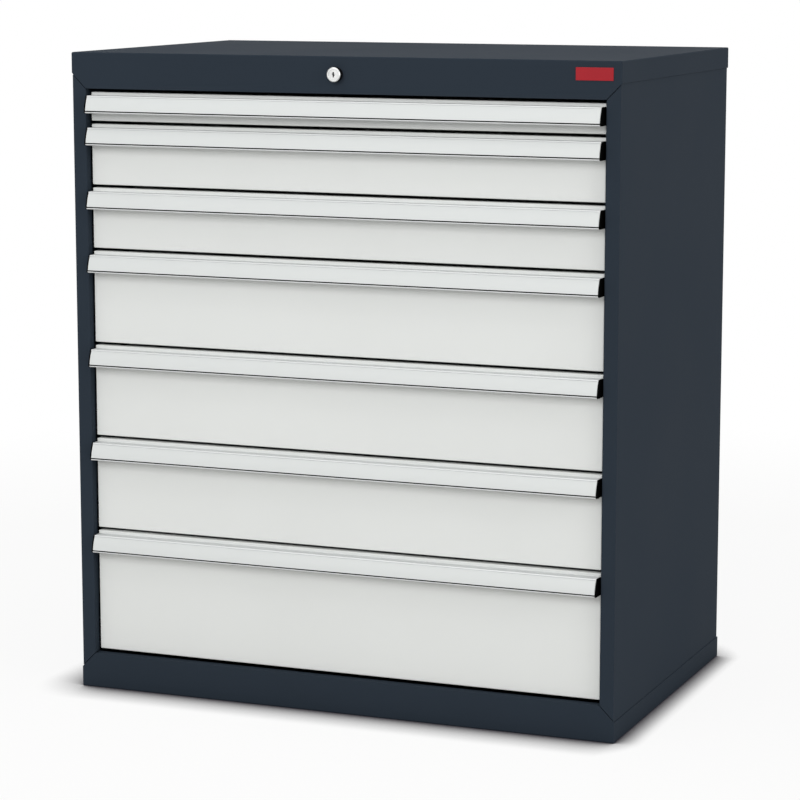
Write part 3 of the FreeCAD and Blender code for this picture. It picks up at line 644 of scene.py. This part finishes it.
@dataclass
class Drawer:
    """One drawer: folded front and box, and the grip with its label strip and end caps.

    Attributes:
        number: Number of the drawer, from the highest down.
        face: Place of the front's face along y.
        set_down: How far the grip's top lies below the front's top edge.
        depth: Reach of the grip's top in front of the face.
        lean: How much further the foot of the grip's front reaches than its top.
        bulge: How far the middle of the grip's front stands out of the straight line.
        front: Height of the grip's front.
        height: Height of the grip's back wall.
        tip_back: How far the grip's lowest edge turns in.
        tip_drop: Height of that turned edge.
        wall: Thickness of the grip.
        back_wall: Thickness of its back wall.
        groove: Where the label groove starts and ends, down from the grip's top.
        groove_depth: Depth of the groove.
        slot: Height of the slot along the groove's foot, from which the strip is lifted out.
        slot_depth: Depth of that slot.
        slot_shade: Thickness of the near-black strip in the slot's foot, painted shade that darkens the
            line under the label.
        strip: Thickness of the label strip.
        strip_gap: Gap between the strip and the groove's other edges.
        grip_side: Half the length of the grip.
        cap_side: Half the length of the grip over its caps.
        front_easing: Edges of the front's folded pan.
        box_easing: Edges of the box.
        grip_edge: Rounding of the grip's edges.
        strip_edge: Rounding of the strip's edges.
        slot_shade_edge: Rounding of the edges of that strip of painted shade.
        cap_edge: Rounding of the caps' edges.
        slide_edge: Width of the broken edges of the slides.
    """

    number: int
    face: float = -274 * MM
    set_down: float = 5 * MM
    depth: float = 17.4 * MM
    lean: float = 8.2 * MM
    bulge: float = 1.5 * MM
    front: float = 26 * MM
    height: float = 27.6 * MM
    tip_back: float = 2 * MM
    tip_drop: float = 1.2 * MM
    wall: float = 2.4 * MM
    back_wall: float = 2 * MM
    groove: tuple[float, float] = (2 * MM, 25.1 * MM)
    groove_depth: float = 0.8 * MM
    slot: float = 1.9 * MM
    slot_depth: float = 1.6 * MM
    slot_shade: float = 0.7 * MM
    strip: float = 0.6 * MM
    strip_gap: float = 0.4 * MM
    grip_side: float = 421 * MM
    cap_side: float = 423 * MM
    front_easing: Easing = Easing(1 * MM, 1.6 * MM, 0.25 * MM)
    box_easing: Easing = Easing(1 * MM, 1.4 * MM, 0.25 * MM)
    grip_edge: float = 0.25 * MM
    strip_edge: float = 0.12 * MM
    slot_shade_edge: float = 0.2 * MM
    cap_edge: float = 0.4 * MM
    slide_edge: float = 0.3 * MM

    @property
    def body(self) -> str:
        """Name of the body that the whole drawer rides on."""
        return f"drawer_{self.number}"

    @property
    def top(self) -> float:
        """Height of the grip's top."""
        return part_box(f"{self.body}_front")[1].z - self.set_down

    def point(self, drop: float, inset: float = 0.0) -> tuple[float, float]:
        """Place on the grip's bulging, leaning front.

        Args:
            drop: Depth below the grip's top.
            inset: Distance behind the front's surface.

        Returns:
            Its y and z.
        """
        share = drop / self.front
        lean = self.lean * share + 4 * self.bulge * share * (1 - share)
        return self.face - self.depth - lean + inset, self.top - drop

    def curve(self, start: float, end: float, inset: float = 0.0,
              steps: int = 20) -> list[tuple[float, float]]:
        """Points that follow the grip's front from one depth to another, both ends included."""
        return [self.point(start + (end - start) * step / steps, inset) for step in range(steps + 1)]

    def tip(self) -> tuple[float, float]:
        """Lowest point of the grip's front wall."""
        y, z = self.point(self.front)
        return y + self.tip_back, z - self.tip_drop

    def build_front(self) -> None:
        """Folded pan of the front, and the box behind it."""
        front = eased_copy(f"{self.body}_front", f"{self.body}_front_pan", self.front_easing)
        dress(front, DRAWER_PAINT)
        stand_for(front, f"{self.body}_front", self.body)
        box = eased_copy(f"{self.body}_box", f"{self.body}_box_shell", self.box_easing)
        dress(box, DRAWER_PAINT)
        stand_for(box, f"{self.body}_box", self.body)

    def build_grip(self) -> None:
        """Extruded section with the label groove along its front."""
        start, end = self.groove
        inside = list(reversed(self.curve(self.wall, self.front, self.wall)))
        section = [
            (self.face, self.top),
            self.point(0),
            self.point(start),
            *self.curve(start, end - self.slot, self.groove_depth),
            self.point(end - self.slot, self.slot_depth),
            self.point(end, self.slot_depth),
            self.point(end),
            self.point(self.front),
            self.tip(),
            *inside[1:],
            (self.face - self.back_wall, self.top - self.wall),
            (self.face - self.back_wall, self.top - self.height),
            (self.face, self.top - self.height),
        ]
        grip = bar_between(f"{self.body}_grip_rail", section, (-self.grip_side, self.grip_side),
                           Easing.even(self.grip_edge))
        dress(grip, GRIP_METAL)
        stand_for(grip, f"{self.body}_grip", self.body)

    def build_strip(self) -> None:
        """Label strip in the groove, down to the slot along its foot."""
        start = self.groove[0] + self.strip_gap
        end = self.groove[1] - self.slot
        outside = self.groove_depth - self.strip
        section = self.curve(start, end, outside) + self.curve(end, start, self.groove_depth)
        side = self.grip_side - self.strip_gap
        strip = bar_between(f"{self.body}_label", section, (-side, side), Easing.even(self.strip_edge))
        dress(strip, LABEL_SHEET)
        stand_for(strip, f"{self.body}_label_strip", self.body)

    def build_slot_shade(self) -> None:
        """Near-black strip in the slot under the label strip, painted shade that darkens the slot's line.
        """
        start, end = self.groove[1] - self.slot, self.groove[1]
        outside = self.slot_depth - self.slot_shade
        section = self.curve(start, end, outside, 3) + self.curve(end, start, self.slot_depth, 3)
        side = self.grip_side - self.strip_gap
        slot_shade = bar_between(f"{self.body}_bead", section, (-side, side), Easing.even(self.slot_shade_edge))
        dress(slot_shade, SLOT_SHADE_BLACK)
        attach(slot_shade, self.body)

    def build_caps(self) -> None:
        """Moulded plug that closes each end of the grip."""
        section = [
            (self.face, self.top),
            *self.curve(0, self.front),
            self.tip(),
            (self.face, self.top - self.height),
        ]
        caps = [
            bar_between(f"{self.body}_cap", section, ends, Easing.even(self.cap_edge))
            for ends in ((self.grip_side, self.cap_side), (-self.cap_side, -self.grip_side))
        ]
        pair = joined(f"{self.body}_caps", caps)
        dress(pair, CAP_NYLON)
        stand_for(pair, f"{self.body}_end_caps", self.body)

    def build_slides(self) -> None:
        """Runners and roller carriages, which keep their solids."""
        soften_node(f"{self.body}_runners", SLIDE_ZINC, self.slide_edge)
        soften_node(f"slide_{self.number}_carriage", SLIDE_ZINC, self.slide_edge)

    def build(self) -> None:
        """Build every piece of the drawer."""
        self.build_front()
        self.build_grip()
        self.build_strip()
        self.build_slot_shade()
        self.build_caps()
        self.build_slides()


@dataclass
class Lock:
    """Central lock: fixed housing, turning core, and the steel behind them.

    Attributes:
        bore: Radius of the bore that the core turns in.
        collar: Radius of the collar.
        chamfer: Width of the chamfer round the collar's face.
        face_depth: Depth of the nickel face on the black casting.
        thread: Radius of the threaded neck behind the collar.
        nut: Radius of the nut.
        nut_ends: Where the nut starts and ends, back from the sheet's outside.
        wafer_set_back: How far the first wafer stands behind the core's face.
        wafer_step: Distance from one wafer to the next.
        wafer_thickness: Thickness of a wafer.
        wafer_count: Number of wafers that show in the keyway.
        wafer_edge: Rounding of their edges.
        wafer_outline: Corners of a wafer in millimetres, to the right of the lock's axis and above it.
        slot: Rounding of the core's face and keyway.
        steel: Width of the broken edges of the shaft, the bar and the rails.
    """

    bore: float = 7.55 * MM
    collar: float = 11.1 * MM
    chamfer: float = 1.2 * MM
    face_depth: float = 2.2 * MM
    thread: float = 9.5 * MM
    nut: float = 14 * MM
    nut_ends: tuple[float, float] = (1.5 * MM, 5.5 * MM)
    wafer_set_back: float = 1.0 * MM
    wafer_step: float = 2 * MM
    wafer_thickness: float = 1.2 * MM
    wafer_count: int = 5
    wafer_edge: float = 0.08 * MM
    wafer_outline: tuple[tuple[float, float], ...] = (
        (-1.05, -3.95), (1.05, -3.95), (1.05, -1.45), (2.15, -1.45), (2.15, -0.05), (1.05, -0.05),
        (1.05, 3.95), (-1.05, 3.95), (-1.05, 1.45), (-2.15, 1.45), (-2.15, 0.05), (-1.05, 0.05))
    slot: float = 0.2 * MM
    steel: float = 0.3 * MM

    def build_housing(self) -> None:
        """Near-black collar and neck behind a nickel face."""
        low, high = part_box("lock_housing")
        height = (low.z + high.z) / 2
        front, back, sheet = low.y, high.y, Carcass.front
        step = front + self.face_depth
        face = turned_ring("lock_face", [
            (front, self.bore), (front, self.collar - self.chamfer), (front + self.chamfer, self.collar),
            (step, self.collar), (step, self.bore)], height)
        body = turned_ring("lock_casting", [
            (step, self.bore), (step, self.collar), (sheet, self.collar), (sheet, self.thread),
            (sheet + self.nut_ends[0], self.thread), (sheet + self.nut_ends[0], self.nut),
            (sheet + self.nut_ends[1], self.nut), (sheet + self.nut_ends[1], self.thread),
            (back, self.thread), (back, self.bore)], height)
        for piece, finish in ((face, LOCK_NICKEL), (body, LOCK_BLACK)):
            dress(piece, finish)
            stand_for(piece, "lock_housing", "cabinet")

    def build_wafers(self) -> None:
        """Steel wafers across the keyway, whose near-black colour is painted shade of the deep keyway
        behind the core's face.
        """
        low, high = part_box("lock_core")
        height = (low.z + high.z) / 2
        shape = bmesh.new()
        for number in range(self.wafer_count):
            front = low.y + self.wafer_set_back + number * self.wafer_step
            rim = [shape.verts.new((x * MM, front, height + z * MM)) for x, z in self.wafer_outline]
            plate = shape.faces.new(rim)
            grown = bmesh.ops.extrude_face_region(shape, geom=[plate])["geom"]
            moved = [item for item in grown if isinstance(item, bmesh.types.BMVert)]
            bmesh.ops.translate(shape, verts=moved, vec=(0, self.wafer_thickness, 0))
        bmesh.ops.recalc_face_normals(shape, faces=shape.faces)
        ease(shape, Easing.even(self.wafer_edge))
        wafers = finish_mesh("lock_wafers", shape)
        dress(wafers, WAFER_SHADE_BLACK)
        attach(wafers, "lock")

    def build(self) -> None:
        """Build the lock and dress the rails, the shaft and the bar."""
        self.build_housing()
        self.build_wafers()
        core = eased_copy("lock_core", "lock_plug", Easing.even(self.slot))
        dress(core, LOCK_NICKEL)
        stand_for(core, "lock_core", "lock")
        soften_node("lock_shaft", BAR_ZINC, self.steel)
        soften_node("lock_bar", BAR_ZINC, self.steel)
        soften_node("cabinet_rails", SLIDE_ZINC, self.steel)


@dataclass(frozen=True)
class Lamp:
    """A rectangular soft lamp.

    Attributes:
        name: Name of the lamp.
        place: Where it hangs.
        size: Its width and height.
        power: Its power in watts.
        aim: Point that it faces.
    """

    name: str
    place: tuple[float, float, float]
    size: tuple[float, float]
    power: float
    aim: tuple[float, float, float] = (0.0, 0.0, 0.5)

    def build(self) -> None:
        """Hang the lamp and turn it to its aim."""
        lamp = bpy.data.lights.new(self.name, "AREA")
        lamp.shape = "RECTANGLE"
        lamp.size, lamp.size_y = self.size
        lamp.energy = self.power
        holder = bpy.data.objects.new(self.name, lamp)
        holder.location = self.place
        holder.rotation_euler = (Vector(self.aim) - Vector(self.place)).to_track_quat("-Z", "Y").to_euler()
        bpy.context.scene.collection.objects.link(holder)


@dataclass
class Studio:
    """Pale floor, white surroundings, soft lamps and the camera.

    Attributes:
        ambient: Strength of the surrounding light.
        floor: Colour of the floor.
        floor_veil: Share of plain white laid over the floor for the eye, which thins the shadow.
        floor_radius: Radius of the floor's disc.
        floor_fade: Shares of that radius between which the disc fades out.
        contact_reach: Distances within which the painted contact shadow darkens the floor, in front of the
            cabinet and beside it.
        contact_turn: Places along x between which the first distance gives way to the second.
        contact_shadow_colour: Colour of the painted contact shadow where the floor meets the cabinet.
        contact_rays: Rays cast for the shade of each point of the floor.
        camera_place: Place of the camera.
        azimuth: Angle of the view round z, in degrees from the front to the right.
        elevation: Angle of the view above the horizon, in degrees.
        sensor: Width of the camera's sensor in millimetres.
        lens: Focal length in millimetres.
        lamps: The soft lamps, in the order in which they are made.
    """

    ambient: float = 0.55
    floor: str = "E2E1DF"
    floor_veil: float = 0.9
    floor_radius: float = 2.6
    floor_fade: tuple[float, float] = (0.55, 0.95)
    contact_reach: tuple[float, float] = (80 * MM, 42 * MM)
    contact_turn: tuple[float, float] = (440 * MM, 480 * MM)
    contact_shadow_colour: str = "38353B"
    contact_rays: int = 16
    camera_place: tuple[float, float, float] = (1.6856, -4.1975, 1.1913)
    azimuth: float = 22.021
    elevation: float = 9.276
    sensor: float = 36.0
    lens: float = 126.71
    lamps: tuple[Lamp, ...] = (
        Lamp("overhead", (0.0, -0.6, 3.4), (3.2, 2.6), 24),
        Lamp("front", (-0.6, -4.4, 2.5), (3.0, 2.0), 90),
        Lamp("right", (4.4, -1.4, 1.8), (2.0, 2.2), 58),
    )

    @staticmethod
    def seen_directly(tree: bpy.types.NodeTree) -> bpy.types.NodeSocket:
        """Give one for the eye, in a mirror and through glass too, and zero for all other light."""
        path = add_node(tree, "ShaderNodeLightPath")
        mirrored = add_node(tree, "ShaderNodeMath", {
            0: path.outputs["Is Camera Ray"],
            1: path.outputs["Is Glossy Ray"]}, operation="MAXIMUM")
        seen = add_node(tree, "ShaderNodeMath", {
            0: mirrored.outputs[0], 1: path.outputs["Is Transmission Ray"]}, operation="MAXIMUM")
        return seen.outputs[0]

    def build_world(self) -> None:
        """White surroundings for the eye and for reflections, and a plain level of light."""
        world = bpy.data.worlds.new("studio")
        bpy.context.scene.world = world
        world.use_nodes = True
        tree = world.node_tree
        tree.nodes.clear()
        light = add_node(tree, "ShaderNodeBackground", {
            "Color": linear(WHITE), "Strength": self.ambient})
        white = add_node(tree, "ShaderNodeBackground", {"Color": linear(WHITE), "Strength": 1.0})
        seen = self.seen_directly(tree)
        both = add_node(tree, "ShaderNodeMixShader", {0: seen, 1: light.outputs[0], 2: white.outputs[0]})
        add_node(tree, "ShaderNodeOutputWorld", {"Surface": both.outputs[0]})

    def build_floor(self) -> None:
        """Disc whose rim fades into the white surroundings, whose underside is clear and which has a
        contact shadow painted round the cabinet's foot.
        """
        shape = bmesh.new()
        bmesh.ops.create_circle(shape, cap_ends=True, segments=96, radius=self.floor_radius)
        data = bpy.data.meshes.new("floor")
        shape.to_mesh(data)
        shape.free()
        floor = bpy.data.objects.new("floor", data)
        bpy.context.scene.collection.objects.link(floor)
        material = bpy.data.materials.new("studio_paper_painted_contact_shadow")
        material.use_nodes = True
        tree = material.node_tree
        tree.nodes.clear()
        place = add_node(tree, "ShaderNodeTexCoord").outputs["Object"]
        distance = add_node(tree, "ShaderNodeVectorMath", {0: place}, operation="LENGTH")
        fade = add_node(tree, "ShaderNodeMapRange", {
            "Value": distance.outputs["Value"], "From Min": self.floor_fade[0] * self.floor_radius,
            "From Max": self.floor_fade[1] * self.floor_radius})
        behind = add_node(tree, "ShaderNodeNewGeometry").outputs["Backfacing"]
        clear = add_node(tree, "ShaderNodeMath", {0: fade.outputs[0], 1: behind}, operation="MAXIMUM")
        seen = self.seen_directly(tree)
        veil = add_node(tree, "ShaderNodeMath", {0: seen, 1: self.floor_veil}, operation="MULTIPLY")
        # A point at the foot of an upright wall sees half of what lies round it
        across = add_node(tree, "ShaderNodeSeparateXYZ", {0: place})
        reach = add_node(tree, "ShaderNodeMapRange", {
            "Value": across.outputs[0], "From Min": self.contact_turn[0], "From Max": self.contact_turn[1],
            "To Min": self.contact_reach[0], "To Max": self.contact_reach[1]})
        open_share = add_node(tree, "ShaderNodeAmbientOcclusion", {
            "Distance": reach.outputs[0]}, samples=self.contact_rays)
        contact = add_node(tree, "ShaderNodeMapRange", {
            "Value": open_share.outputs["AO"], "From Min": 0.5})
        # The occlusion paints a contact shadow into the floor's colour and into the white that the eye
        # sees.
        shade = add_node(tree, "ShaderNodeMix", {
            0: contact.outputs[0], 6: linear(self.contact_shadow_colour), 7: linear(WHITE)}, data_type="RGBA")
        tint = add_node(tree, "ShaderNodeMix", {
            0: 1.0, 6: linear(self.floor), 7: shade.outputs[2]}, data_type="RGBA", blend_type="MULTIPLY")
        paper = add_node(tree, "ShaderNodeBsdfDiffuse", {"Color": tint.outputs[2]})
        white = add_node(tree, "ShaderNodeEmission", {"Color": shade.outputs[2], "Strength": 1.0})
        veiled = add_node(tree, "ShaderNodeMixShader", {
            0: veil.outputs[0], 1: paper.outputs[0], 2: white.outputs[0]})
        nothing = add_node(tree, "ShaderNodeBsdfTransparent")
        both = add_node(tree, "ShaderNodeMixShader", {
            0: clear.outputs[0], 1: veiled.outputs[0], 2: nothing.outputs[0]})
        add_node(tree, "ShaderNodeOutputMaterial", {"Surface": both.outputs[0]})
        floor.data.materials.append(material)

    def build_camera(self) -> None:
        """Camera at the photograph's angle."""
        lens = bpy.data.cameras.new("camera")
        lens.sensor_width = self.sensor
        lens.lens = self.lens
        lens.clip_end = 100
        camera = bpy.data.objects.new("camera", lens)
        turn, tilt = math.radians(self.azimuth), math.radians(self.elevation)
        ahead = Vector((-math.sin(turn) * math.cos(tilt), math.cos(turn) * math.cos(tilt), -math.sin(tilt)))
        camera.location = self.camera_place
        camera.rotation_euler = ahead.to_track_quat("-Z", "Y").to_euler()
        bpy.context.scene.collection.objects.link(camera)
        bpy.context.scene.camera = camera

    def build(self) -> None:
        """Set the camera first, then the surroundings and the lamps."""
        bpy.context.scene.view_settings.view_transform = "Standard"
        self.build_camera()
        self.build_world()
        self.build_floor()
        for lamp in self.lamps:
            lamp.build()


def main() -> None:
    """Build the studio and every sub-assembly in order."""
    logging.basicConfig(level=logging.INFO, format="%(message)s")
    Studio().build()
    Carcass().build()
    for number in DRAWER_NUMBERS:
        Drawer(number).build()
    Lock().build()


if __name__ == "__main__":
    main()
